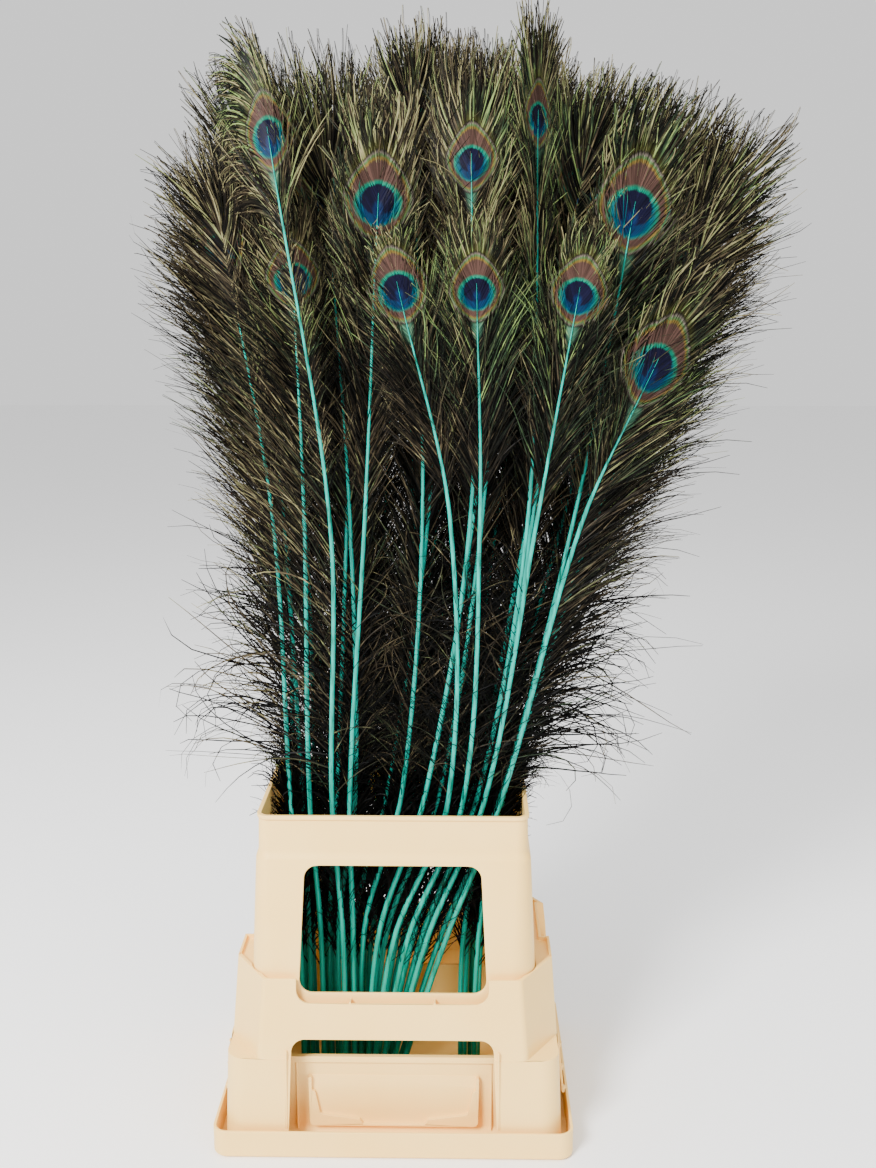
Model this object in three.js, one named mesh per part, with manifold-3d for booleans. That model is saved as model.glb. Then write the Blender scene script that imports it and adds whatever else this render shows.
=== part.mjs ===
// A bunch of dyed peacock feathers standing in a three-piece flower holder.
// Millimetres, +Z up, front towards -Y, origin at the centre of the tray's underside.
import * as THREE from "three";
import { mergeVertices } from "three/addons/utils/BufferGeometryUtils.js";
import Module from "manifold-3d";

const wasm = await Module();
wasm.setup();

// Holder
const WALL = 3;
const TRAY = { width: 380, depth: 280, height: 31, radius: 16 };
const BUCKET = { width: 316, depth: 200, height: 96, radius: 34, taper: 8, lip: 3 };
const LABEL = { half: 91, low: 16, high: 73, proud: 6 };
const LOWER = {
  foot: { width: 358, depth: 264, z: 3.4 },
  ledge: { width: 350, depth: 257, z: 108 },
  top: { width: 338, depth: 234, z: 193 },
  cutX: 35,
  cutY: 53,
};
const LIP = 4.5;
const GRIP = { x: 160, y: [-16, 66], bottom: 150 };
const SKIRT_Y = [-72, 72];
const LOWER_WINDOW = { topHalf: 105, footHalf: 112, top: 129, backTop: 82, radius: 14 };
const TOP_CUT = { half: 100, bottom: 167, radius: 14 };
const SEAT = { z: 154, reach: 12 };
const UPPER = [
  { width: 303, depth: 219, z: 157.4, radius: 30 },
  { width: 299, depth: 214, z: 199, radius: 27 },
  { width: 288, depth: 188, z: 312, radius: 16 },
  { width: 282, depth: 181, z: 324, radius: 13 },
  { width: 280, depth: 180, z: 358, radius: 12 },
];
const RIM = { width: 283, depth: 183, z: 362, radius: 13 };
const UPPER_WINDOW = { topHalf: 91.5, sillHalf: 98.5, sill: 173, top: 309, radius: 14 };

// Feathers
const STEM = { foot: 3.3, rim: 2.7, head: 1.0, tip: 0.5 };
const FOOT_Z = 4;
const LEVELS = [FOOT_Z, 200, 362, 670];
const VANE_START = 392;
const GAP = 1.4;
const LAYER_STEP = [[0, 11], [362, 16], [620, 29], [900, 44], [1150, 50]];
const CENTRE_X = [[0, -5], [362, 12], [620, 45], [900, 72], [1150, 78]];
const HALF_X = [[0, 150], [362, 150], [620, 215], [900, 300], [1150, 320]];
const BOW = 0.42;

// Each layer runs left to right. A feather is its stem's x at the foot, sill, rim and middle,
// then its eye's x and z, and the longest reach of its barbs.
const LAYERS = [
  [
    [-58, -58, -67, -60, -106, 1028, 98],
    [-30, -2, 57, 59, 11, 892, 74],
    [-22, 13, 73, 88, 83, 890, 74],
    [-14, 34, 96, 144, 177, 887, 74],
    [-6, 55, 114, 190, 254, 822, 96],
  ],
  [
    [-83, -84, -93, -89, -92, 903, 105],
    [-49, -48, -49, -27, -9, 973, 74],
    [-35, -19, 32, 79, 78, 1008, 74],
    [-18, 29, 89, 137, 139, 1046, 26],
    [-9, 50, 114, 184, 231, 966, 108],
  ],
  [
    [-107, -109, -116, -126, -165, 935, 106],
    [-64, -65, -44, -45, -62, 985, 74],
    [-42, -36, 7, 30, 22, 1048, 74],
    [-32, -10, 48, 92, 108, 1005, 74],
    [-13, 37, 99, 144, 184, 992, 74],
    [86, 92, 119, 212, 300, 920, 112],
  ],
  [
    [-98, -100, -104, -118, -142, 1006, 108],
    [-76, -76, -65, -50, -42, 970, 74],
    [-47, -48, -9, 36, 46, 1050, 74],
    [-35, -16, 39, 84, 130, 1036, 74],
    [-20, 23, 85, 143, 216, 1000, 74],
    [71, 76, 114, 216, 318, 965, 112],
  ],
  [
    [-105, -107, -114, -120, -166, 915, 106],
    [-70, -72, -60, -56, -80, 990, 74],
    [-39, -27, 20, 18, 4, 1038, 74],
    [-27, 5, 66, 80, 86, 1048, 74],
    [-13, 44, 109, 140, 172, 1002, 74],
    [90, 96, 122, 202, 278, 990, 112],
  ],
  [
    [-96, -98, -93, -100, -120, 1018, 106],
    [-59, -59, -40, -40, -25, 965, 74],
    [-47, -45, -3, 46, 66, 1020, 74],
    [-30, 0, 64, 112, 156, 1015, 74],
    [75, 82, 108, 186, 256, 968, 108],
  ],
  [
    [-84, -86, -87, -88, -96, 935, 98],
    [-57, -57, -34, -14, 0, 985, 74],
    [-43, -35, 11, 70, 92, 935, 74],
    [-24, 15, 81, 128, 178, 965, 74],
    [82, 88, 113, 182, 248, 900, 98],
  ],
];

function material(name, color, roughness) {
  return new THREE.MeshStandardMaterial({ name, color, roughness });
}

function part(name, geometry, color, roughness) {
  const mesh = new THREE.Mesh(geometry, material(name, color, roughness));
  mesh.name = name;
  return mesh;
}

function toManifold(geometry) {
  const bare = geometry.clone();
  bare.deleteAttribute("normal");
  bare.deleteAttribute("uv");
  const merged = mergeVertices(bare, 1e-4);
  return new wasm.Manifold(new wasm.Mesh({
    numProp: 3,
    vertProperties: new Float32Array(merged.attributes.position.array),
    triVerts: new Uint32Array(merged.index.array),
  }));
}

function toGeometry(solid) {
  const mesh = solid.getMesh();
  const geometry = new THREE.BufferGeometry();
  geometry.setAttribute("position", new THREE.BufferAttribute(mesh.vertProperties, 3));
  geometry.setIndex(new THREE.BufferAttribute(mesh.triVerts, 1));
  const flat = geometry.toNonIndexed();
  flat.computeVertexNormals();
  return flat;
}

// Corner-rounded copy of a convex outline that runs anticlockwise.
function fillet(corners, radius, steps) {
  const points = [];
  corners.forEach((corner, i) => {
    const p = new THREE.Vector2(...corner);
    const before = new THREE.Vector2(...corners.at(i - 1)).sub(p).normalize();
    const after = new THREE.Vector2(...corners[(i + 1) % corners.length]).sub(p).normalize();
    const half = Math.acos(THREE.MathUtils.clamp(before.dot(after), -1, 1)) / 2;
    const reach = radius / Math.tan(half);
    const middle = before.clone().add(after).normalize().multiplyScalar(radius / Math.sin(half)).add(p);
    const start = p.clone().addScaledVector(before, reach).sub(middle);
    const turn = Math.PI - 2 * half;
    for (let k = 0; k <= steps; k += 1) {
      const arm = start.clone().rotateAround(new THREE.Vector2(), (turn * k) / steps);
      points.push([middle.x + arm.x, middle.y + arm.y]);
    }
  });
  return points;
}

function rectangle(width, depth) {
  const x = width / 2;
  const y = depth / 2;
  return [[-x, -y], [x, -y], [x, y], [-x, y]];
}

function facetted(width, depth, cutX, cutY) {
  const x = width / 2;
  const y = depth / 2;
  return [
    [-x + cutX, -y], [x - cutX, -y], [x, -y + cutY], [x, y - cutY],
    [x - cutX, y], [-x + cutX, y], [-x, y - cutY], [-x, -y + cutY],
  ];
}

// Closed solid through rings of equal length, each [points, z].
function loft(rings) {
  const count = rings[0][0].length;
  const positions = rings.flatMap(([points, z]) => points.flatMap(([x, y]) => [x, y, z]));
  const index = [];
  for (let k = 0; k + 1 < rings.length; k += 1) {
    for (let i = 0; i < count; i += 1) {
      const a = k * count + i;
      const b = k * count + ((i + 1) % count);
      index.push(a, b, b + count, a, b + count, a + count);
    }
  }
  const top = (rings.length - 1) * count;
  for (let i = 1; i + 1 < count; i += 1) {
    index.push(0, i + 1, i, top, top + i, top + i + 1);
  }
  const geometry = new THREE.BufferGeometry();
  geometry.setAttribute("position", new THREE.Float32BufferAttribute(positions, 3));
  geometry.setIndex(index);
  return toManifold(geometry);
}

function roundedLoft(rings, inset = 0) {
  return loft(rings.map(({ width, depth, z, radius }) => {
    const corners = rectangle(width - 2 * inset, depth - 2 * inset);
    return [fillet(corners, Math.max(radius - inset, 2), 4), z];
  }));
}

// Prism of an outline in X and Z that runs from y = near to y = far.
function through(points, near, far) {
  const shape = new THREE.Shape(points.map(([x, z]) => new THREE.Vector2(x, z)));
  const geometry = new THREE.ExtrudeGeometry(shape, { depth: far - near, bevelEnabled: false });
  geometry.rotateX(Math.PI / 2);
  geometry.translate(0, far, 0);
  return toManifold(geometry);
}

function base() {
  const { width, depth, height, radius } = TRAY;
  const tray = roundedLoft([
    { width: width - 6, depth: depth - 6, z: 0, radius: radius - 3 },
    { width, depth, z: 3, radius },
    { width, depth, z: height, radius },
  ]);
  const pocket = roundedLoft([
    { width: width - 2 * WALL, depth: depth - 2 * WALL, z: WALL, radius: radius - WALL },
    { width: width - 2 * WALL, depth: depth - 2 * WALL, z: height + 1, radius: radius - WALL },
  ]);
  const wide = { width: BUCKET.width, depth: BUCKET.depth, radius: BUCKET.radius };
  const narrow = {
    width: BUCKET.width - BUCKET.taper,
    depth: BUCKET.depth - BUCKET.taper,
    radius: BUCKET.radius - BUCKET.taper / 2,
  };
  const lip = {
    width: BUCKET.width + 2 * BUCKET.lip,
    depth: BUCKET.depth + 2 * BUCKET.lip,
    radius: BUCKET.radius + BUCKET.lip,
  };
  const outside = roundedLoft([
    { ...wide, z: 1 },
    { ...wide, z: WALL },
    { ...narrow, z: 12 },
    { ...wide, z: BUCKET.height - 8 },
    { ...lip, z: BUCKET.height - 7 },
    { ...lip, z: BUCKET.height },
  ]);
  const inside = roundedLoft([{ ...narrow, z: WALL }, { ...wide, z: BUCKET.height + 1 }], WALL);
  const face = -BUCKET.depth / 2 - LABEL.proud;
  const plate = through([
    [-LABEL.half + 9, LABEL.low + 14], [-LABEL.half + 40, LABEL.low], [LABEL.half - 40, LABEL.low],
    [LABEL.half - 9, LABEL.low + 14], [LABEL.half - 7, LABEL.high - 13], [LABEL.half, LABEL.high - 12],
    [LABEL.half, LABEL.high], [-LABEL.half, LABEL.high], [-LABEL.half, LABEL.high - 12],
    [-LABEL.half + 7, LABEL.high - 13],
  ], face, -BUCKET.depth / 2 + 2);
  const card = through([
    [-LABEL.half + 15, LABEL.low + 16], [-LABEL.half + 44, LABEL.low + 8], [-32, LABEL.low + 8],
    [-32, LABEL.low + 5], [32, LABEL.low + 5], [32, LABEL.low + 8],
    [LABEL.half - 44, LABEL.low + 8], [LABEL.half - 15, LABEL.low + 16],
    [LABEL.half - 13, LABEL.high - 12], [-LABEL.half + 13, LABEL.high - 12],
  ], face - 1, face + 3.5);
  const frame = plate.subtract(card);
  return tray.subtract(pocket).add(outside).add(frame).subtract(inside);
}

// Box on both sides of the holder, from x = near outwards.
function sideBoxes(near, reach, [y0, y1], [z0, z1]) {
  const box = new THREE.BoxGeometry(reach, y1 - y0, z1 - z0);
  box.translate(near + reach / 2, (y0 + y1) / 2, (z0 + z1) / 2);
  const twin = box.clone().translate(-2 * near - reach, 0, 0);
  return toManifold(box).add(toManifold(twin));
}

function lowerCollar() {
  const { foot, ledge, top, cutX, cutY } = LOWER;
  const legs = (inset, drop) => loft([
    [fillet(rectangle(foot.width - 2 * inset, foot.depth - 2 * inset), 22 - inset, 4), foot.z - inset],
    [fillet(rectangle(ledge.width - 2 * inset, ledge.depth - 2 * inset), 22 - inset, 4), ledge.z - drop],
  ]);
  const crownFoot = ledge.z - 2;
  const crown = (inset, low, high) => loft([low, high].map((z) => {
    const t = (z - crownFoot) / (top.z - crownFoot);
    const width = THREE.MathUtils.lerp(ledge.width, top.width, t) - 2 * inset;
    const depth = THREE.MathUtils.lerp(ledge.depth, top.depth, t) - 2 * inset;
    return [fillet(facetted(width, depth, cutX, cutY), 8, 2), z];
  }));
  const shelf = top.z - LIP;
  const grip = sideBoxes(GRIP.x, 40, GRIP.y, [GRIP.bottom, top.z + 1]);
  const gripInside = sideBoxes(
    GRIP.x - WALL, 40, [GRIP.y[0] - WALL, GRIP.y[1] + WALL], [GRIP.bottom - WALL, top.z + 1],
  );
  const outside = legs(0, 0).add(crown(0, crownFoot, top.z)).subtract(grip);
  const inside = legs(WALL, WALL).add(crown(WALL, ledge.z - 6, shelf - WALL)).subtract(gripInside);
  const tray = crown(WALL, shelf, top.z + 1).subtract(gripInside);
  const mouth = roundedLoft([
    { ...UPPER[0], z: SEAT.z + WALL },
    { ...UPPER[1], z: top.z + 1 },
  ], -1.2);
  const seatHole = roundedLoft([
    { ...UPPER[0], z: SEAT.z - 1 },
    { ...UPPER[0], z: SEAT.z + WALL + 1 },
  ], SEAT.reach);
  const seat = crown(WALL - 0.5, SEAT.z, SEAT.z + WALL).subtract(grip).subtract(seatHole);
  const window = (high, from, to) => through(fillet([
    [-LOWER_WINDOW.footHalf, -30], [LOWER_WINDOW.footHalf, -30],
    [LOWER_WINDOW.topHalf, high], [-LOWER_WINDOW.topHalf, high],
  ], LOWER_WINDOW.radius, 4), from, to);
  const cut = (from, to) => through(fillet([
    [-TOP_CUT.half, TOP_CUT.bottom], [TOP_CUT.half, TOP_CUT.bottom],
    [TOP_CUT.half, top.z + 40], [-TOP_CUT.half, top.z + 40],
  ], TOP_CUT.radius, 3), from, to);
  const skirt = [1, -1].map((side) => {
    const points = [[174, 107], [182, 36], [184.5, 36], [177, 107]].map(([x, z]) => [side * x, z]);
    return through(side > 0 ? points : points.reverse(), ...SKIRT_Y);
  });
  return outside.subtract(inside).subtract(tray).subtract(mouth).add(seat)
    .subtract(window(LOWER_WINDOW.top, -200, 0)).subtract(window(LOWER_WINDOW.backTop, 0, 200))
    .subtract(cut(-200, -60)).subtract(cut(60, 200))
    .add(skirt[0]).add(skirt[1]);
}

function upperCollar() {
  const tube = roundedLoft(UPPER);
  const band = roundedLoft([{ ...RIM, z: RIM.z - 4 }, RIM]);
  const bore = roundedLoft([
    { ...UPPER[0], z: UPPER[0].z - 1 },
    ...UPPER.slice(1),
    { ...UPPER.at(-1), z: RIM.z + 1 },
  ], WALL);
  const window = through(fillet([
    [-UPPER_WINDOW.sillHalf, UPPER_WINDOW.sill], [UPPER_WINDOW.sillHalf, UPPER_WINDOW.sill],
    [UPPER_WINDOW.topHalf, UPPER_WINDOW.top], [-UPPER_WINDOW.topHalf, UPPER_WINDOW.top],
  ], UPPER_WINDOW.radius, 4), -200, 200);
  return tube.add(band).subtract(bore).subtract(window);
}

function along(table, z) {
  const k = Math.max(1, table.findIndex(([end]) => z <= end));
  const last = z > table.at(-1)[0] ? table.length - 1 : k;
  const [z0, v0] = table[last - 1];
  const [z1, v1] = table[last];
  return THREE.MathUtils.lerp(v0, v1, (z - z0) / (z1 - z0));
}

// Smooth x of a stem against z through its levels; above the eye it runs on straight.
function stemPath([foot, sill, rim, middle, eye, eyeZ]) {
  const zs = [...LEVELS, eyeZ];
  const xs = [foot, sill, rim, middle, eye];
  const slope = zs.map((_, i) => {
    const a = Math.max(i - 1, 0);
    const b = Math.min(i + 1, zs.length - 1);
    return (xs[b] - xs[a]) / (zs[b] - zs[a]);
  });
  return (z) => {
    if (z >= eyeZ) return eye + slope.at(-1) * (z - eyeZ);
    const i = Math.max(zs.findIndex((end) => z <= end), 1) - 1;
    const h = zs[i + 1] - zs[i];
    const t = (z - zs[i]) / h;
    const rise = xs[i + 1] - xs[i];
    const bend = (slope[i] * h - rise) * t * (1 - t) ** 2 + (rise - slope[i + 1] * h) * t * t * (1 - t);
    return xs[i] + rise * (3 * t * t - 2 * t ** 3) + bend + rise * (t * (1 - t) ** 2 - t * t * (1 - t));
  };
}

// A layer is a bowed sheet; the middle one is flat and the others bulge away from it.
function onLayer(layer, x, z) {
  const step = (layer - (LAYERS.length - 1) / 2) * along(LAYER_STEP, z);
  const q = THREE.MathUtils.clamp((x - along(CENTRE_X, z)) / along(HALF_X, z), -1.25, 1.25);
  return step * (1 - BOW * q * q);
}

function layerPoint(layer, x, z, lift) {
  const e = 0.5;
  const y = onLayer(layer, x, z);
  const dx = (onLayer(layer, x + e, z) - onLayer(layer, x - e, z)) / (2 * e);
  const dz = (onLayer(layer, x, z + e) - onLayer(layer, x, z - e)) / (2 * e);
  const normal = new THREE.Vector3(-dx, 1, -dz).normalize();
  return [x + normal.x * lift, y + normal.y * lift, z + normal.z * lift];
}

// Barb reach and angle from the shaft at a height, from the loose foot of the vane to its top.
function barb(height, spec, station) {
  const [, , , , , eyeZ, widest] = spec;
  const t = (height - VANE_START) / (eyeZ - VANE_START);
  const loose = THREE.MathUtils.smoothstep(t, -0.12, 0.3);
  const head = THREE.MathUtils.smoothstep(height, eyeZ - 200, eyeZ - 10);
  const top = THREE.MathUtils.clamp((height - eyeZ - 12) / 56, 0, 1);
  const ragged = station % 2 ? 1 : 0.84;
  const full = THREE.MathUtils.lerp(widest, Math.min(widest, 72), head);
  return {
    reach: full * (0.2 + 0.8 * loose) * (1 - 0.66 * top * top) * (head < 0.9 ? ragged : 1),
    angle: THREE.MathUtils.degToRad(THREE.MathUtils.lerp(56, 38, head) - 9 * top),
  };
}

function feather(layer, place) {
  const row = LAYERS[layer];
  const spec = row[place];
  const [, , , , , eyeZ] = spec;
  const path = stemPath(spec);
  const left = place > 0 ? stemPath(row[place - 1]) : null;
  const right = place + 1 < row.length ? stemPath(row[place + 1]) : null;
  const bare = [FOOT_Z, 200, 285, 362];
  const vane = [0, 0.12, 0.25, 0.38, 0.51, 0.64, 0.77, 0.9];
  const heights = [
    ...bare,
    ...vane.map((t) => THREE.MathUtils.lerp(VANE_START, eyeZ, t)),
    eyeZ + 12, eyeZ + 40, eyeZ + 68,
  ];
  const rings = heights.map((z, station) => {
    const x = path(z);
    const lean = Math.atan2(path(z + 1) - path(z - 1), 2);
    const size = z < 362
      ? THREE.MathUtils.lerp(STEM.foot, STEM.rim, z / 362)
      : THREE.MathUtils.lerp(STEM.rim, STEM.head, (z - 362) / (eyeZ - 362));
    const r = Math.max(size, STEM.tip);
    if (z <= VANE_START - 1) {
      return [0, 1, 2, 3, 4, 5].map((k) => {
        const a = Math.PI - (k * Math.PI) / 3;
        return layerPoint(layer, x + r * Math.cos(a), z, -r * Math.sin(a));
      });
    }
    const { reach, angle } = barb(z, spec, station + place + layer);
    const tip = (side, neighbour) => {
      const a = lean + side * angle;
      let tx = x + reach * Math.sin(a);
      const tz = z + reach * Math.cos(a);
      if (neighbour) {
        const limit = (path(tz) + neighbour(tz)) / 2 - side * GAP;
        tx = side > 0 ? Math.min(tx, limit) : Math.max(tx, limit);
      }
      return layerPoint(layer, side > 0 ? Math.max(tx, x + r) : Math.min(tx, x - r), tz, 0);
    };
    return [
      tip(-1, left),
      layerPoint(layer, x - r * 0.6, z, -r * 0.8),
      layerPoint(layer, x + r * 0.6, z, -r * 0.8),
      tip(1, right),
      layerPoint(layer, x + r * 0.6, z, r * 0.8),
      layerPoint(layer, x - r * 0.6, z, r * 0.8),
    ];
  });
  const positions = rings.flat(2);
  const index = [];
  for (let k = 0; k + 1 < rings.length; k += 1) {
    for (let i = 0; i < 6; i += 1) {
      const a = k * 6 + i;
      const b = k * 6 + ((i + 1) % 6);
      // Both faces of the sheet are split along the same diagonals, so a twisted sheet can't fold through itself.
      if (i < 3) index.push(a, b, b + 6, a, b + 6, a + 6);
      else index.push(a, b, a + 6, b, b + 6, a + 6);
    }
  }
  const top = (rings.length - 1) * 6;
  for (let i = 1; i < 5; i += 1) index.push(0, i + 1, i, top, top + i, top + i + 1);
  const geometry = new THREE.BufferGeometry();
  geometry.setAttribute("position", new THREE.Float32BufferAttribute(positions, 3));
  geometry.setIndex(index);
  const flat = geometry.toNonIndexed();
  flat.computeVertexNormals();
  return flat;
}

const group = new THREE.Group();
group.name = "peacock_feather_bunch";
group.add(part("base", toGeometry(base()), 0xf0dcbd, 0.45));
group.add(part("lower_collar", toGeometry(lowerCollar()), 0xf0dcbd, 0.45));
group.add(part("upper_collar", toGeometry(upperCollar()), 0xf0dcbd, 0.45));
let number = 0;
LAYERS.forEach((row, layer) => {
  row.forEach((_, place) => {
    number += 1;
    group.add(part(`feather_${String(number).padStart(2, "0")}`, feather(layer, place), 0x3a4426, 0.6));
  });
});

export default group;
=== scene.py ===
"""A bunch of dyed peacock feathers standing in a three-piece flower holder.

Sizes are in millimetres until a mesh is made. +Z is up, -Y is the front, and the
origin is the centre of the tray's underside.
"""
import math
import bpy
import numpy as np
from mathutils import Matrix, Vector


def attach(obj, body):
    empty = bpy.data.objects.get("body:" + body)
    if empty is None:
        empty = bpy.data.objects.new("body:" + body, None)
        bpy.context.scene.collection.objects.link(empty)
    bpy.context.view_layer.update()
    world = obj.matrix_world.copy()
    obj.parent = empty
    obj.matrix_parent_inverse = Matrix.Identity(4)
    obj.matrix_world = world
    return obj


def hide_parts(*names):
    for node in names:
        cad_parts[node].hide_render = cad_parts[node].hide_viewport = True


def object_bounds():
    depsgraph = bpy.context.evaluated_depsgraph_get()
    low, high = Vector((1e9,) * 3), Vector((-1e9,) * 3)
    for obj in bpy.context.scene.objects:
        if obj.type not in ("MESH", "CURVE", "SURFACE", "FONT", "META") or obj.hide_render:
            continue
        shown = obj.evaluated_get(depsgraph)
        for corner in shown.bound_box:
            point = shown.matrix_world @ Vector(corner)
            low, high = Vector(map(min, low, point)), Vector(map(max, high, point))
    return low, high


bl_info = {
    "name": "Peacock feather bunch",
    "version": (1, 0, 0),
    "blender": (4, 5, 0),
    "location": "View3D > Sidebar > Feather bunch",
    "description": "Builds the feathers, their flower holder and a plain stage round the packed frame",
    "category": "Add Mesh",
}

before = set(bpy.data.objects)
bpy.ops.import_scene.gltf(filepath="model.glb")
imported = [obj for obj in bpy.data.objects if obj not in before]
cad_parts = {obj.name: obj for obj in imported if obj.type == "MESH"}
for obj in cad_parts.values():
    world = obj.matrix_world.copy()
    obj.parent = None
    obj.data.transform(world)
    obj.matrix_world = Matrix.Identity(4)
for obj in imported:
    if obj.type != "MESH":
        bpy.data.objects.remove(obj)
CAD_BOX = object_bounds()
MM = 0.001
# How far past the object's box a barb may reach, as a share of the box's size.
SPARE = 0.022

# The bunch hangs together in layers, front to back. A row is one feather, left to right: its stem's
# x at the foot, sill, rim and middle, its eye's x and z, and the longest reach of its barbs.
LAYERS = [
    [
        [-58, -58, -67, -60, -106, 1028, 98],
        [-30, -2, 57, 59, 11, 892, 74],
        [-22, 13, 73, 88, 83, 890, 74],
        [-14, 34, 96, 144, 177, 887, 74],
        [-6, 55, 114, 190, 254, 822, 96],
    ],
    [
        [-83, -84, -93, -89, -92, 903, 105],
        [-49, -48, -49, -27, -9, 973, 74],
        [-35, -19, 32, 79, 78, 1008, 74],
        [-18, 29, 89, 137, 139, 1046, 26],
        [-9, 50, 114, 184, 231, 966, 108],
    ],
    [
        [-107, -109, -116, -126, -165, 935, 106],
        [-64, -65, -44, -45, -62, 985, 74],
        [-42, -36, 7, 30, 22, 1048, 74],
        [-32, -10, 48, 92, 108, 1005, 74],
        [-13, 37, 99, 144, 184, 992, 74],
        [86, 92, 119, 212, 300, 920, 112],
    ],
    [
        [-98, -100, -104, -118, -142, 1006, 108],
        [-76, -76, -65, -50, -42, 970, 74],
        [-47, -48, -9, 36, 46, 1050, 74],
        [-35, -16, 39, 84, 130, 1036, 74],
        [-20, 23, 85, 143, 216, 1000, 74],
        [71, 76, 114, 216, 318, 965, 112],
    ],
    [
        [-105, -107, -114, -120, -166, 915, 106],
        [-70, -72, -60, -56, -80, 990, 74],
        [-39, -27, 20, 18, 4, 1038, 74],
        [-27, 5, 66, 80, 86, 1048, 74],
        [-13, 44, 109, 140, 172, 1002, 74],
        [90, 96, 122, 202, 278, 990, 112],
    ],
    [
        [-96, -98, -93, -100, -120, 1018, 106],
        [-59, -59, -40, -40, -25, 965, 74],
        [-47, -45, -3, 46, 66, 1020, 74],
        [-30, 0, 64, 112, 156, 1015, 74],
        [75, 82, 108, 186, 256, 968, 108],
    ],
    [
        [-84, -86, -87, -88, -96, 935, 98],
        [-57, -57, -34, -14, 0, 985, 74],
        [-43, -35, 11, 70, 92, 935, 74],
        [-24, 15, 81, 128, 178, 965, 74],
        [82, 88, 113, 182, 248, 900, 98],
    ],
]
# The front layers face the viewer. From the back ones on, loose barbs lie almost evenly up the stem.
FRONT_LAYERS = 2
BACK_LAYERS = 5
OUTSIDE_LAYERS = (0, len(LAYERS) - 1)
# Heights of a row's first four places; the fifth is at its eye.
FOOT_Z = 4
SILL_Z = 200
RIM_Z = 362
MIDDLE_Z = 670
LEVELS = [FOOT_Z, SILL_Z, RIM_Z, MIDDLE_Z]
# Height and value: the depth from layer to layer, and the bunch's middle and half its width.
LAYER_STEP = [[0, 11], [362, 16], [620, 29], [900, 44], [1150, 50]]
CENTRE_X = [[0, -5], [362, 12], [620, 45], [900, 72], [1150, 78]]
HALF_X = [[0, 150], [362, 150], [620, 215], [900, 300], [1150, 320]]
# Share of a layer's depth that is lost at the bunch's edges.
BOW = 0.42
# Thickness of the holder's walls.
WALL = 3

# Each front feather's eye size against the usual, turn of the head about its shaft in degrees,
# reach of the barbs past the eye against the usual, and how far their free ends curl outwards.
HEADS = {
    1: (0.98, -24, 1.02, 0.35),
    2: (0.98, -10, 0.5, -0.2),
    3: (0.86, 10, 0.68, -0.3),
    4: (0.9, -12, 0.6, -0.3),
    5: (1.28, 10, 1.05, -0.3),
    6: (0.9, 28, 0.8, -0.1),
    7: (1.12, 4, 0.95, -0.35),
    8: (0.86, -22, 1.0, -0.3),
    9: (0.85, 55, 0.9, 0.0),
    10: (1.28, 6, 1.04, -0.3),
}
# Reach of other feathers' head barbs against the usual, where the bunch's top needs another.
OTHER_REACH = {
    12: 1.3, 13: 0.86, 18: 1.3, 19: 0.86, 20: 0.92, 24: 1.3, 25: 0.88, 26: 0.88, 30: 1.3, 31: 0.9, 34: 1.15,
}
# Extra lean of the free ends of a head's barbs, in radians to the right.
LEANING = {1: -1.0, 5: 0.15, 10: 0.1}
# Where loose barbs stay short, by layer and place: from and to height, share of the length.
SHORT_BARBS = {(0, 0): (700, 945, 0.26)}
# Height above which each layer's own loose barbs begin, front to back. They begin lower at the
# bunch's edges, and beside the dark gap that lies between two places at the rim.
BARE_TO = [690, 670, 640, 590, 520, 390, 420]
EDGE_BARE_TO = 440
GAP_BARE_TO = 395
GAP_X = (-80, 30)
GAP_MIDDLE_X = -20
# Dark barbs longer than this are made wider, as are those in the collar behind the front layers.
LONG_STRAY = 95
WIDE_STRAY = 1.7
# Added to the place of a head's dull side, so that it lies outside the eye's rings.
FAR_FROM_EYE = 900.0


# --- plain helpers -------------------------------------------------------------------------

def linear(hex_colour):
    """sRGB hex to linear RGBA: each channel is v/12.92 below 0.04045, else ((v+0.055)/1.055)^2.4."""
    channels = [int(hex_colour[i:i + 2], 16) / 255 for i in (1, 3, 5)]
    return [v / 12.92 if v <= 0.04045 else ((v + 0.055) / 1.055) ** 2.4 for v in channels] + [1.0]


def smoothstep(low, high, value):
    """0 below low, 1 above high, and 3t^2 - 2t^3 between."""
    t = np.clip((value - low) / (high - low), 0, 1)
    return t * t * (3 - 2 * t)


def make_mesh(name, points, faces, material, uv=None, extra_uv=None, smooth=True):
    """One mesh object from points in millimetres and an (n, 4) or (n, 3) array of faces."""
    mesh = bpy.data.meshes.new(name)
    points = np.asarray(points, dtype=np.float32) * MM
    faces = np.asarray(faces, dtype=np.int32)
    count, sides = faces.shape
    mesh.vertices.add(len(points))
    mesh.vertices.foreach_set("co", points.ravel())
    mesh.loops.add(count * sides)
    mesh.loops.foreach_set("vertex_index", faces.ravel())
    mesh.polygons.add(count)
    mesh.polygons.foreach_set("loop_start", np.arange(count, dtype=np.int32) * sides)
    mesh.update(calc_edges=True)
    mesh.polygons.foreach_set("use_smooth", np.full(count, smooth))
    for label, values in (("Place", uv), ("Barb", extra_uv)):
        if values is not None:
            layer = mesh.uv_layers.new(name=label)
            layer.data.foreach_set("uv", np.asarray(values, dtype=np.float32)[faces.ravel()].ravel())
    mesh.materials.append(material)
    mesh.update()
    piece = bpy.data.objects.new(name, mesh)
    bpy.context.scene.collection.objects.link(piece)
    return piece


def add_node(tree, kind, settings=None, inputs=None):
    """Add a node, set its properties, and give each input a value or a link."""
    node = tree.nodes.new(kind)
    for key, value in (settings or {}).items():
        setattr(node, key, value)
    for key, value in (inputs or {}).items():
        if isinstance(value, bpy.types.NodeSocket):
            tree.links.new(value, node.inputs[key])
        else:
            node.inputs[key].default_value = value
    return node


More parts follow.
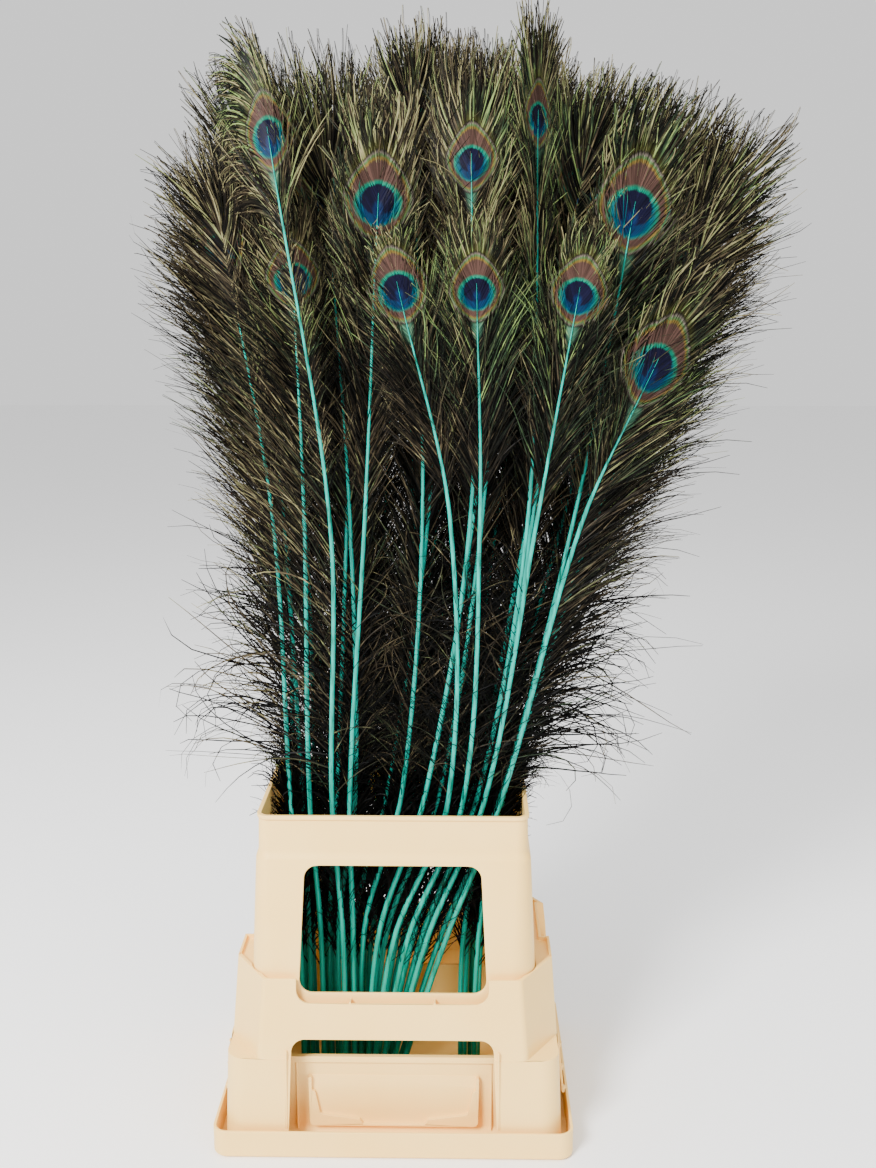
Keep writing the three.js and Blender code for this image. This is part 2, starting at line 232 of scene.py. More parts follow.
def new_material(name, **sockets):
    """A Principled material; the keywords are its sockets' names with _ for a space."""
    material = bpy.data.materials.new(name)
    material.use_nodes = True
    shader = material.node_tree.nodes["Principled BSDF"]
    for key, value in sockets.items():
        shader.inputs[key.replace("_", " ")].default_value = value
    return material, material.node_tree, shader


def calculate(tree, operation, *values):
    """A Math node of numbers and links; gives its result."""
    return add_node(tree, "ShaderNodeMath", {"operation": operation}, dict(enumerate(values))).outputs[0]


def vector_math(tree, operation, *values):
    """A Vector Math node; gives its vector."""
    return add_node(
        tree, "ShaderNodeVectorMath", {"operation": operation}, dict(enumerate(values))).outputs[0]


def remap(tree, value, low, high, to_low, to_high, kind="LINEAR"):
    """A Map Range node from low and high to two other limits; gives its result."""
    return add_node(tree, "ShaderNodeMapRange", {"interpolation_type": kind}, {
        "Value": value, "From Min": low, "From Max": high, "To Min": to_low, "To Max": to_high}).outputs[0]


def noise(tree, place, scale, detail):
    """A Noise Texture node; gives its grey value."""
    return add_node(tree, "ShaderNodeTexNoise", inputs={
        "Vector": place, "Scale": scale, "Detail": detail}).outputs["Fac"]


def ramp(tree, value, stops):
    """A Color Ramp node with (position, hex colour) stops; gives its colour."""
    node = add_node(tree, "ShaderNodeValToRGB", inputs={"Fac": value})
    scale = node.color_ramp
    while len(scale.elements) < len(stops):
        scale.elements.new(0.5)
    for element, (position, colour) in zip(scale.elements, stops):
        element.position = position
        element.color = linear(colour)
    return node.outputs["Color"]


def blend(tree, factor, under, over):
    """A Mix node of two colours; gives the mixed one."""
    return add_node(tree, "ShaderNodeMix", {"data_type": "RGBA"}, {
        "Factor": factor, 6: under, 7: over}).outputs[2]


def split(tree, vector):
    """The X, Y and Z outputs of a vector."""
    return add_node(tree, "ShaderNodeSeparateXYZ", inputs={"Vector": vector}).outputs


def join(tree, **parts):
    """A vector from its parts by name."""
    return add_node(tree, "ShaderNodeCombineXYZ", inputs=parts).outputs[0]


def raise_surface(tree, shader, height, strength, distance):
    """Bump a material by a grey value."""
    bump = add_node(tree, "ShaderNodeBump", inputs={
        "Height": height, "Strength": strength, "Distance": distance})
    tree.links.new(bump.outputs[0], shader.inputs["Normal"])


# --- the lie of the bunch --------------------------------------------------------------------

def along(table, z):
    """Straight-line reading of a table of (height, value)."""
    heights, values = zip(*table)
    return np.interp(z, heights, values)


def stem_x(spec, z):
    """Cubic Hermite of a stem's x against z through its levels; straight on above the eye."""
    zs = np.array([*LEVELS, spec[5]], dtype=float)
    xs = np.array(spec[:5], dtype=float)
    low = np.maximum(np.arange(5) - 1, 0)
    high = np.minimum(np.arange(5) + 1, 4)
    slope = (xs[high] - xs[low]) / (zs[high] - zs[low])
    z = np.asarray(z, dtype=float)
    i = np.clip(np.searchsorted(zs, z) - 1, 0, 3)
    h = zs[i + 1] - zs[i]
    t = np.clip((z - zs[i]) / h, 0, 1)
    rise = xs[i + 1] - xs[i]
    x = xs[i] + rise * (3 * t ** 2 - 2 * t ** 3)
    x = x + h * (slope[i] * t * (1 - t) ** 2 - slope[i + 1] * t * t * (1 - t))
    return np.where(z > zs[4], xs[4] + slope[4] * (z - zs[4]), x)


def stem_lean(spec, z):
    """Angle of the stem from upright in the plane of its layer."""
    return np.arctan2(stem_x(spec, z + 1) - stem_x(spec, z - 1), 2.0)


def layer_y(layer, x, z):
    """Depth of a layer: its number of steps from the middle one, bowed back at both edges."""
    q = np.clip((x - along(CENTRE_X, z)) / along(HALF_X, z), -1.25, 1.25)
    return (layer - (len(LAYERS) - 1) / 2) * along(LAYER_STEP, z) * (1 - BOW * q * q)


def lift_off(layer, x, z, lift):
    """Points on a layer at (x, z), moved off it by lift along its normal."""
    e = 0.5
    y = layer_y(layer, x, z)
    dx = (layer_y(layer, x + e, z) - layer_y(layer, x - e, z)) / (2 * e)
    dz = (layer_y(layer, x, z + e) - layer_y(layer, x, z - e)) / (2 * e)
    size = np.sqrt(dx * dx + 1 + dz * dz)
    return np.stack([x - dx / size * lift, y + lift / size, z - dz / size * lift], axis=-1)


def kept_in_box(points):
    """Points clipped to the object's box with a little to spare."""
    low, high = np.array(CAD_BOX[0]) / MM, np.array(CAD_BOX[1]) / MM
    spare = (high - low) * SPARE
    return np.clip(points, low - spare, high + spare)


# --- feather shapes --------------------------------------------------------------------------

def shaft_shape(layer, spec, settings, facing):
    """A quill: an upright oval section carried up the stem, tapering from the foot to a hair in the eye.

    Station k lies at height z(k), with radius r(z) falling in straight lines through its levels;
    the foot closes on a blunt point.
    """
    eye_z = spec[5]
    foot = np.array([0.0, 0.6, 2.0, 5.0]) + FOOT_Z
    z = np.concatenate([foot, np.linspace(FOOT_Z + 12, eye_z + 6, settings.shaft_rings)])
    radius = np.interp(z, [FOOT_Z, RIM_Z, MIDDLE_Z, eye_z - 90, eye_z - 45, eye_z - 15, eye_z + 6],
                       [settings.quill_foot, settings.quill_rim, settings.quill_middle, 1.2, 0.7, 0.25, 0.12])
    radius[:4] *= [0.05, 0.5, 0.82, 1.0]
    sides = settings.shaft_sides
    turn = np.arange(sides) / sides * 2 * np.pi
    x0 = stem_x(spec, z)
    lean = stem_lean(spec, z)
    ring_x = np.cos(turn)[None, :] * radius[:, None]
    ring_y = np.sin(turn)[None, :] * radius[:, None] * 1.08
    x = x0[:, None] + ring_x * np.cos(lean)[:, None]
    high = z[:, None] - ring_x * np.sin(lean)[:, None]
    head = smoothstep(eye_z - 160, eye_z - 40, z)[:, None]
    points = lift_off(layer, x, high, ring_y + facing * 0.9 * head)
    rows = len(z)
    i = np.arange(rows - 1)[:, None] * sides
    j = np.arange(sides)[None, :]
    k = (j + 1) % sides
    faces = np.stack([i + j, i + k, i + k + sides, i + j + sides], axis=-1).reshape(-1, 4)
    place = np.stack([np.broadcast_to(turn / (2 * np.pi), (rows, sides)),
                      np.broadcast_to(z[:, None] / 1000, (rows, sides))], axis=-1)
    return points.reshape(-1, 3), faces, place.reshape(-1, 2)


def barb_curves(layer, spec, roots, turn_deg, facing, steps):
    """Curves of barbs in their feather's own plane, then bent onto its layer.

    A barb leaves its root on the shaft at an angle. Its heading changes evenly along it, with a ripple
    and, past two fifths of its length, a curl that grows with the square of the way; all barbs of a
    head also sway to one side. The distance along a barb is split into steps of equal length and
    summed up. The part of the way that is across the shaft is turned out of the layer by the head's
    turn, and cupped with the square of it. A barb's own tilt lifts it off the layer towards its end.
    """
    z0, side, angle, bend, length, tilt, wave, curl, sway = roots
    t = np.linspace(0, 1, steps)
    free = np.clip((t - 0.4) / 0.6, 0, 1)
    ripple = wave[:, None] * np.sin(6 * t + z0[:, None]) * (0.25 + 0.75 * free)
    heading = side[:, None] * (angle[:, None] + bend[:, None] * t + ripple + curl[:, None] * free ** 2)
    heading = heading + sway[:, None] * t
    middle = (heading[:, 1:] + heading[:, :-1]) / 2
    stride = (length / (steps - 1))[:, None]
    zero = np.zeros((len(z0), 1))
    across = np.concatenate([zero, np.cumsum(np.sin(middle) * stride, axis=1)], axis=1)
    up = np.concatenate([zero, np.cumsum(np.cos(middle) * stride, axis=1)], axis=1)
    lean = stem_lean(spec, z0)[:, None]
    eye_z = spec[5]
    head = smoothstep(eye_z - 260, eye_z - 60, z0)[:, None]
    turn = math.radians(turn_deg) * head
    lift = across * np.sin(turn) + np.sin(tilt)[:, None] * length[:, None] * t * (0.4 + 0.6 * t)
    lift = lift - facing * across ** 2 / 420 * head
    flat = across * np.cos(turn)
    up_x = stem_x(spec, z0)[:, None] + up * np.sin(lean)
    up_z = z0[:, None] + up * np.cos(lean)
    x = up_x + flat * np.cos(lean)
    z = up_z - flat * np.sin(lean)
    true_x = up_x + across * np.cos(lean)
    true_z = up_z - across * np.sin(lean)
    eye_lean = float(stem_lean(spec, eye_z))
    du, dv = true_x - spec[4], true_z - eye_z
    u = du * math.cos(eye_lean) - dv * math.sin(eye_lean)
    v = du * math.sin(eye_lean) + dv * math.cos(eye_lean)
    return lift_off(layer, x, z, lift), np.stack([u, v], axis=-1)


def ribbons(curves, width, roll, plane):
    """Flat strands along curves: each point is widened by half the width to both sides.

    The widening direction is square to the strand, at roll from the plane whose normal is given.
    """
    count, steps, _ = curves.shape
    ahead = np.gradient(curves, axis=1)
    ahead /= np.linalg.norm(ahead, axis=2, keepdims=True) + 1e-9
    across = np.cross(ahead, np.broadcast_to(plane, ahead.shape))
    across /= np.linalg.norm(across, axis=2, keepdims=True) + 1e-9
    out = np.cross(across, ahead)
    way = across * np.cos(roll)[:, None, None] + out * np.sin(roll)[:, None, None]
    edges = np.stack([curves - way * width[..., None] / 2, curves + way * width[..., None] / 2], axis=2)
    i = (np.arange(count)[:, None] * steps + np.arange(steps - 1)[None, :]) * 2
    faces = np.stack([i, i + 1, i + 3, i + 2], axis=-1).reshape(-1, 4)
    return edges.reshape(-1, 3), faces


def head_roots(layer, spec, scale, reach_share, spread, sway, settings, rng):
    """Roots of the close-set barbs of the eye: even steps up the shaft, then a fan at its end."""
    eye_z = spec[5]
    per_side = settings.head_barbs
    fan = int(per_side * 0.27)
    row = per_side - fan
    climb = np.linspace(0, 1, row)
    low = -84 * scale
    z_row = eye_z + low + (5 - low) * climb
    a_row = np.radians(42 - 17 * climb ** 1.4)
    fan_t = (np.arange(fan) + 0.5) / fan
    z_fan = np.full(fan, eye_z + 5.0)
    a_fan = np.radians(25) * (1 - fan_t)
    z0 = np.concatenate([z_row, z_fan])
    angle = np.concatenate([a_row, a_fan])
    reach = np.concatenate([80 + 22 * climb, 102 - 2 * fan_t]) * reach_share
    z0, angle, reach = [np.tile(v, 2) for v in (z0, angle, reach)]
    side = np.repeat([-1.0, 1.0], per_side)
    count = len(z0)
    inner = FRONT_LAYERS <= layer < OUTSIDE_LAYERS[1]
    return (
        z0, side, angle + rng.normal(0, 0.012, count),
        -0.20 * angle + rng.normal(0, 0.05, count),
        reach * rng.uniform(0.68, 1.12, count),
        rng.normal(0, 0.16 if inner else 0.03, count),
        rng.normal(0, 0.18, count),
        spread + rng.normal(0, 0.30, count), sway + rng.normal(0, 0.05, count),
    )


def edge_of(place, row):
    """-1 or 1 for the feather at a row's left or right end, else 0."""
    return (place == 0) * -1.0 + (place == row - 1) * 1.0


def stands_by_gap(layer, spec):
    """Whether a feather stands behind the dark gap between the front stems."""
    return layer >= FRONT_LAYERS and GAP_X[0] < spec[2] < GAP_X[1]


def loose_roots(layer, spec, place, row, settings, rng):
    """Roots of the loose barbs: thin near the rim, long in the middle, closing up to the head."""
    eye_z = spec[5]
    count = settings.loose_barbs
    edge = edge_of(place, row)
    side = np.where(rng.uniform(size=count) < 0.5, -1.0, 1.0)
    if edge:
        side = np.where(rng.uniform(size=count) < 0.3, edge, side)
    outer = (side == edge).astype(float)
    to_gap = stands_by_gap(layer, spec) & (side == (1.0 if spec[2] < GAP_MIDDLE_X else -1.0))
    start = np.where(outer > 0, EDGE_BARE_TO, np.where(to_gap, GAP_BARE_TO, BARE_TO[layer]))
    power = (0.66 if layer < BACK_LAYERS else 0.92) - 0.18 * outer
    t = np.sort(rng.uniform(0, 1, count)) ** power
    z0 = start + (eye_z - 62 - start) * t
    narrow = min(1.0, spec[6] / 60)
    high = (z0 - RIM_Z) / (eye_z - RIM_Z)
    short = 0.66 - 0.34 * outer
    length = (96 + 20 * outer) * (short + (1 - short) * smoothstep(0.0, 0.3 + 0.2 * outer, high))
    length = length * rng.uniform(0.6, 1.15, count) * (0.55 + 0.45 * narrow)
    angle = np.radians(rng.normal(24, 6, count) + 9 * outer) * (0.45 + 0.55 * narrow)
    angle = np.clip(angle, 0.06, 1.2)
    bend = rng.normal(0.0, 0.2, count) + 0.10 * outer
    low = 1 - smoothstep(0.25, 0.6, high)
    curl = rng.normal(0, 0.24 if layer < FRONT_LAYERS else 0.36, count)
    curl = curl + outer * low * rng.uniform(-0.3, 1.1, count)
    if (layer, place) in SHORT_BARBS:
        bottom, top, share = SHORT_BARBS[layer, place]
        length = np.where((z0 > bottom) & (z0 < top), length * share, length)
    wave = rng.normal(0, 0.09, count)
    tilt = rng.normal(0, 0.14 if layer in OUTSIDE_LAYERS else 0.34, count)
    return z0, side, angle, bend, length, tilt, wave, curl, np.zeros(count)


def stray_roots(layer, spec, place, row, settings, rng):
    """Roots of the dark barbs: a thicket in the collar, wiry ones above it, wild ones at the edges."""
    deep = FRONT_LAYERS <= layer < BACK_LAYERS
    edge = edge_of(place, row)
    thicket = settings.thicket_barbs if deep else settings.thicket_barbs // 5
    wiry = settings.stray_barbs * (5 if stands_by_gap(layer, spec) else 4 if deep and not edge else 1)
    wild = settings.wild_barbs if edge else 0
    count = thicket + wiry + wild
    kind = np.repeat([0, 1, 2], [thicket, wiry, wild])
    is_wiry, is_wild = kind == 1, kind == 2
    z0 = np.concatenate([
        rng.triangular(140, 310, 425, thicket),
        rng.triangular(348, 385, 620, wiry),
        rng.triangular(385, 400, 560, wild),
    ])
    above = (kind > 0).astype(float)
    side = np.where(rng.uniform(size=count) < 0.5, -1.0, 1.0)
    side = np.where((above > 0) & (edge != 0) & (rng.uniform(size=count) < 0.8), edge, side)
    side = np.where(is_wild, edge, side)
    outer = (side == edge) * above
    length = rng.uniform(26, 62, count) + above * rng.uniform(10, 45, count)
    length = length + outer * rng.uniform(0, 50, count)
    length = length * (1 - 0.6 * outer * is_wiry * (1 - smoothstep(400, 520, z0)))
    length = length + is_wild * rng.uniform(0, 70, count)
    angle = rng.uniform(4, 34, count) + above * rng.uniform(4, 30, count)
    angle = np.radians(angle + outer * rng.uniform(0, 26, count))
    angle = angle + is_wild * rng.uniform(0, 0.5, count)
    bend = rng.normal(0.15, 0.5, count) * (0.5 + 0.5 * above) + outer * rng.uniform(-0.4, 0.7, count)
    curl = rng.normal(0.1, 0.9, count) + is_wild * rng.uniform(-0.4, 1.6, count)
    tilt = rng.normal(0, 0.16, count)
    return z0, side, angle, bend, length, tilt, rng.normal(0, 0.16, count), curl, np.zeros(count)


def plume_shape(layer, place, number, settings):
    """All barbs of one feather as flat strands, with the place in the eye and along the barb as UVs.

    The eye's colour shows on one side only, so each barb of the head is two strands back to back, and
    the dull one's place is given as far from the eye.
    """
    rng = np.random.default_rng(4100 + number)
    row = LAYERS[layer]
    spec = row[place]
    front = layer < FRONT_LAYERS
    facing = -1.0 if front else 1.0
    usual = (0.9, float(rng.uniform(-22, 22)), OTHER_REACH.get(number, 1.0), -0.1)
    scale, turn, reach_share, spread = HEADS.get(number, usual)
    plane = np.array([0.0, 1.0, 0.0])
    sway = 0.35 * (spec[4] - 72) / 300 + LEANING.get(number, 0.0)
    head = head_roots(layer, spec, scale, reach_share, spread, sway, settings, rng)
    loose = loose_roots(layer, spec, place, len(row), settings, rng)
    stray = stray_roots(layer, spec, place, len(row), settings, rng)
    sets = []
    for kind, roots, steps, width, rolls in (
        ("eye", head, 12, settings.head_width * scale, 0.08),
        ("back", head, 5, settings.head_width * scale * 1.12, 0.08),
        ("loose", loose, 8, settings.loose_width * (0.75 if front else 0.95), 0.55),
        ("stray", stray, 8, settings.stray_width, 0.5),
    ):
        curves, where = barb_curves(layer, spec, roots, turn, facing, steps)
        count = len(roots[0])
        t = np.linspace(0, 1, steps)
        taper = 0.32 + 0.68 * (1 - t ** 2.2)
        if roots is head:
            taper = 0.42 + 0.58 * (1 - smoothstep(0.42, 0.9, t))
        if kind == "back":
            curves = curves + np.array([0.0, -facing * 0.5, 0.0])
            where = where + FAR_FROM_EYE
        wide = width * taper[None, :] * rng.uniform(0.8, 1.2, count)[:, None]
        tone = rng.uniform(0, 1, count)
        if kind == "stray":
            # Painted shade: most dark barbs, and all those below the rim in the collar, get a tone far below
            # the rest, which the barb material turns near black.
            low = roots[0] < RIM_Z
            tone = np.where((tone < 0.72) | low, tone - 0.9, tone)
            thick = (roots[4] > LONG_STRAY) | low & (not front)
            wide = wide * np.where(thick, WIDE_STRAY, 1.0)[:, None]
        points, faces = ribbons(curves, wide, rng.normal(0, rolls, count), plane)
        uv = np.repeat((where / scale / 100 + 0.5)[:, :, None, :], 2, axis=2).reshape(-1, 2)
        barb = np.stack([np.broadcast_to(t, (count, steps)),
                         np.broadcast_to(tone[:, None], (count, steps))], axis=-1)
        barb = np.repeat(barb[:, :, None, :], 2, axis=2).reshape(-1, 2)
        sets.append((points, faces, uv, barb))
    shift = np.cumsum([0] + [len(s[0]) for s in sets])
    points = np.concatenate([s[0] for s in sets])
    faces = np.concatenate([s[1] + n for s, n in zip(sets, shift)])
    uv = np.concatenate([s[2] for s in sets])
    barb = np.concatenate([s[3] for s in sets])
    return kept_in_box(points), faces, uv, barb


# --- holder shapes ---------------------------------------------------------------------------

def fillet(corners, radius, steps=10):
    """Rounded copy of an outline that runs anticlockwise: each corner becomes an arc touching both sides.

    With h half the corner's angle, the arc's centre lies r / sin h from the corner along its bisector
    and the arc starts r / tan h before the corner; it turns by 180 degrees less 2h, backwards in a notch.
    """
    corners = np.asarray(corners, dtype=float)
    before = np.roll(corners, 1, axis=0) - corners
    after = np.roll(corners, -1, axis=0) - corners
    before /= np.linalg.norm(before, axis=1, keepdims=True)
    after /= np.linalg.norm(after, axis=1, keepdims=True)
    half = np.arccos(np.clip((before * after).sum(axis=1), -1, 1)) / 2
    halfway = before + after
    halfway /= np.linalg.norm(halfway, axis=1, keepdims=True)
    radius = np.broadcast_to(np.asarray(radius, dtype=float), half.shape)
    middle = corners + halfway * (radius / np.sin(half))[:, None]
    arm = corners + before * (radius / np.tan(half))[:, None] - middle
    way = np.sign(after[:, 0] * before[:, 1] - after[:, 1] * before[:, 0])
    turn = (way * (np.pi - 2 * half))[:, None] * np.linspace(0, 1, steps + 1)[None, :]
    x = middle[:, :1] + arm[:, :1] * np.cos(turn) - arm[:, 1:] * np.sin(turn)
    y = middle[:, 1:] + arm[:, :1] * np.sin(turn) + arm[:, 1:] * np.cos(turn)
    return np.stack([x, y], axis=-1).reshape(-1, 2)


def rectangle(width, depth):
    """Corners of an upright rectangle about the origin."""
    return np.array([[-1, -1], [1, -1], [1, 1], [-1, 1]]) * [width / 2, depth / 2]


def facetted(width, depth, cut_x=35, cut_y=53):
    """Corners of a rectangle whose own corners are cut off straight."""
    x, y = width / 2, depth / 2
    return [[-x + cut_x, -y], [x - cut_x, -y], [x, -y + cut_y], [x, y - cut_y],
            [x - cut_x, y], [-x + cut_x, y], [-x, y - cut_y], [-x, -y + cut_y]]


def loft(rings, turned=False):
    """Closed solid through rings of equal length, each an outline and its height.

    Turned, it lies on its back: the outline is in X and Z, and the height counts towards the front.
    """
    count = len(rings[0][0])
    points = np.concatenate([np.column_stack([outline, np.full(count, z)]) for outline, z in rings])
    if turned:
        points = points[:, [0, 2, 1]] * [1, -1, 1]
    i = np.arange(len(rings) - 1)[:, None] * count
    j = np.arange(count)[None, :]
    k = (j + 1) % count
    quads = np.stack([i + j, i + k, i + k + count, i + j + count], axis=-1).reshape(-1, 4)
    caps = [np.arange(count)[::-1], np.arange(count) + (len(rings) - 1) * count]
    mesh = bpy.data.meshes.new("solid")
    mesh.from_pydata((points * MM).tolist(), [], quads.tolist() + [cap.tolist() for cap in caps])
    solid = bpy.data.objects.new("solid", mesh)
    bpy.context.scene.collection.objects.link(solid)
    return solid


def rounded(rings, inset=0.0):
    """Solid through rounded rectangles given as (width, depth, height, corner radius)."""
    return loft([(fillet(rectangle(w - 2 * inset, d - 2 * inset), max(r - inset, 2)), z)
                 for w, d, z, r in rings])


def prism(outline, near, far):
    """Solid with an outline in X and Z that runs from y = near to y = far."""
    return loft([(outline, -far), (outline, -near)], turned=True)


def block(x, y, z):
    """Box between pairs of limits."""
    return prism([[x[0], z[0]], [x[1], z[0]], [x[1], z[1]], [x[0], z[1]]], *y)


def settle(piece):
    """Put the result of a piece's modifiers into its mesh."""
    graph = bpy.context.evaluated_depsgraph_get()
    mesh = bpy.data.meshes.new_from_object(piece.evaluated_get(graph))
    piece.modifiers.clear()
    spent = piece.data
    piece.data = mesh
    bpy.data.meshes.remove(spent)
    return piece


def worked(piece, operation, *others):
    """The piece joined with the other solids (UNION) or cut by them (DIFFERENCE), which are used up."""
    for other in others:
        modifier = piece.modifiers.new(operation, "BOOLEAN")
        modifier.solver = "MANIFOLD"
        modifier.operation = operation
        modifier.object = other
    settle(piece)
    for other in others:
        spent = other.data
        bpy.data.objects.remove(other)
        bpy.data.meshes.remove(spent)
    return piece


def bevelled(piece, width):
    """The piece with its sharp edges rounded over."""
    piece.modifiers.new("faces", "TRIANGULATE")
    modifier = piece.modifiers.new("edges", "BEVEL")
    modifier.width = width * MM
    modifier.segments = 3
    modifier.limit_method = "ANGLE"
    modifier.angle_limit = math.radians(32)
    modifier.use_clamp_overlap = False
    return settle(piece)


def shaded(piece):
    """The piece with smooth shading between its edges that leaves the large faces flat."""
    piece.data.shade_smooth()
    piece.data.set_sharp_from_angle(angle=math.radians(40))
    modifier = piece.modifiers.new("shading", "WEIGHTED_NORMAL")
    modifier.keep_sharp = True
    return settle(piece)


def base_shape(width):
    """Tray and bucket in one, with thin ribs and a bare label holder on the bucket's front."""
    tray = worked(rounded([(374, 274, 0, 13), (380, 280, 3, 16), (380, 280, 31, 16)]), "DIFFERENCE",
                  rounded([(374, 274, WALL, 13), (374, 274, 33, 13)]))
    outside = rounded([(316, 200, 1, 34), (316, 200, 3, 34), (308, 192, 12, 30), (316, 200, 88, 34),
                       (322, 206, 89, 37), (322, 206, 96, 37)])
    inside = rounded([(308, 192, WALL, 30), (316, 200, 97, 34)], WALL)
    ribs = [block((x - 0.8, x + 0.8), (-100.3, -94), (8, 88)) for x in (-104, 104)]
    plate = fillet([(-90, 16), (90, 16), (91, 73), (-91, 73)], [5, 5, 1.5, 1.5])
    lower = fillet([(-90, 16), (90, 16), (91, 60), (-91, 60)], [5, 5, 1, 1])
    back = bevelled(loft([(plate, 94), (plate, 99.8), (lower, 101.8)], turned=True), 0.4)
    right = [(90, 16), (91, 73), (87.5, 73), (87.5, 58), (84, 56.5), (79, 31), (76, 29.5), (36.5, 24),
             (33, 18.4)]
    bends = [5] + [1] * 8
    left = [(-x, z) for x, z in right[::-1]]
    strip = bevelled(prism(fillet(right + left, bends + bends[::-1], 4), -106, -98), 0.35)
    holder = bevelled(worked(worked(tray, "UNION", outside, *ribs), "DIFFERENCE", inside), width)
    return worked(holder, "UNION", back, strip)


def lower_collar_shape(width):
    """Four legs joined by a facetted crown with a thin lip, a seat for the upper collar and side skirts."""
    foot, ledge, top = (358, 264, 3.4), (350, 257, 108), (338, 234, 193)
    crown_foot = ledge[2] - 2
    grip = (160, 200), (-16, 66), (150, 194)
    grip_x, grip_y, grip_z = (157, 197), (-19, 69), (147, 194)

    def legs(inset, drop):
        return loft([
            (fillet(rectangle(foot[0] - 2 * inset, foot[1] - 2 * inset), 22 - inset), foot[2] - inset),
            (fillet(rectangle(ledge[0] - 2 * inset, ledge[1] - 2 * inset), 22 - inset), ledge[2] - drop)])

    def crown(inset, low, high):
        rings = []
        for z in (low, high):
            t = (z - crown_foot) / (top[2] - crown_foot)
            width, depth = [a + (b - a) * t - 2 * inset for a, b in zip(ledge[:2], top[:2])]
            rings.append((fillet(facetted(width, depth), 8, 5), z))
        return loft(rings)

    def window(low, high, y):
        return prism(fillet([(-112, low), (112, low), (105, high), (-105, high)], 14), *y)

    def cut(y):
        return prism(fillet([(-100, 167), (100, 167), (100, 233), (-100, 233)], 14), *y)

    def both_sides(x, y, z):
        return [block(x, y, z), block((-x[1], -x[0]), y, z)]

    outside = worked(legs(0, 0), "UNION", crown(0, crown_foot, top[2]))
    worked(outside, "DIFFERENCE", *both_sides(*grip))
    inside = worked(legs(WALL, WALL), "UNION", crown(WALL, 102, 185.5))
    worked(inside, "DIFFERENCE", *both_sides(grip_x, grip_y, grip_z))
    tray = worked(crown(WALL, 188.5, 194), "DIFFERENCE", *both_sides(grip_x, grip_y, (147, 194.5)))
    mouth = rounded([(303, 219, 157, 30), (299, 214, 194, 27)], -1.2)
    seat = crown(WALL - 0.5, 154, 157)
    worked(seat, "DIFFERENCE", *both_sides(*grip), rounded([(303, 219, 153, 30), (303, 219, 158, 30)], 12))
    worked(outside, "DIFFERENCE", inside, tray, mouth)
    worked(outside, "UNION", seat)
    worked(outside, "DIFFERENCE", window(-30, 129, (-200, 0)), window(-30, 82, (0, 200)),
           cut((-200, -60)), cut((60, 200)))
    extras = []
    for side in (-1, 1):
        skirt = np.array([(182, 36), (184.5, 36), (177, 107), (174, 107)]) * [side, 1]
        extras.append(prism(skirt[::side], -72, 72))
        for z in (40, 66, 93):
            x = 177 + (107 - z) * 7.5 / 71
            fin = np.array([(x - 3, z - 3), (x + 0.5, z - 3), (x + 2.6, z + 2), (x - 3, z + 2)]) * [side, 1]
            extras.append(prism(fin[::side], -71, -66))
        extras.append(block((side * 44 - 0.8, side * 44 + 0.8), (-119.5, -109.8), (158, 168.4)))
        edge = np.array([(106.6, 30), (108.4, 30), (107.2, 118), (105.4, 118)]) * [side, 1]
        extras.append(prism(edge[::side] + [side * 4.2, 0], -131.4, -127))
    return bevelled(worked(outside, "UNION", *extras), width)


def upper_collar_shape(width):
    """Tapered rectangular tube with a soft step below its rim and a window front and back."""
    way = np.linspace(0, 1, 9)
    rings = [(303, 219, 157.4, 30), (299, 214, 199, 27),
             *[(288 - 6 * s, 188 - 7 * s, 312 + 12 * t, 16 - 3 * s)
               for s, t in zip(smoothstep(0, 1, way), way)],
             (280, 180, 358, 12)]
    lip = rounded([(281, 181, 357, 12), (283, 183, 358.5, 13), (283, 183, RIM_Z, 13)])
    tube = worked(rounded(rings), "UNION", lip)
    bore = rounded([(303, 219, 156.4, 30), *rings[1:], (280, 180, 363, 12)], WALL)
    window = prism(fillet([(-98.5, 173), (98.5, 173), (91.5, 309), (-91.5, 309)], 14), -200, 200)
    return bevelled(worked(tube, "DIFFERENCE", bore, window), width)


# --- materials -------------------------------------------------------------------------------

def dyed_quill():
    """Keratin quill, dyed turquoise in a bath: glossy, a little uneven along its length, and darker and
    greener low down in the holder as painted shade.
    """
    material, tree, shader = new_material(
        "Dyed quill, glossy", Roughness=0.32, IOR=1.54, Specular_IOR_Level=0.12)
    place = add_node(tree, "ShaderNodeTexCoord").outputs["Object"]
    stretch = add_node(tree, "ShaderNodeMapping", inputs={"Vector": place, "Scale": (300, 300, 14)})
    streak = noise(tree, stretch.outputs[0], 1.0, 3.0)
    colour = ramp(tree, streak, [(0.28, "#00503F"), (0.45, "#00897A"), (0.7, "#00AA98")])
    # Painted shade: from a little above the rim down into the holder, the quill blends towards a darker
    # green, most at its foot.
    low = remap(tree, split(tree, place)["Z"], 0.42, 0.12, 0.0, 0.5)
    tree.links.new(blend(tree, low, colour, linear("#007C5C")), shader.inputs["Base Color"])
    raise_surface(tree, shader, streak, 0.2, 0.0003)
    return material


def eye_distance(tree, place, centre, radii):
    """Distance from an oval's centre in units of its radii: sqrt((u/a)^2 + (v/b)^2)."""
    moved = vector_math(tree, "SUBTRACT", place, (*centre, 0))
    scaled = vector_math(tree, "DIVIDE", moved, (*radii, 1))
    return add_node(tree, "ShaderNodeVectorMath", {"operation": "LENGTH"}, {0: scaled}).outputs["Value"]


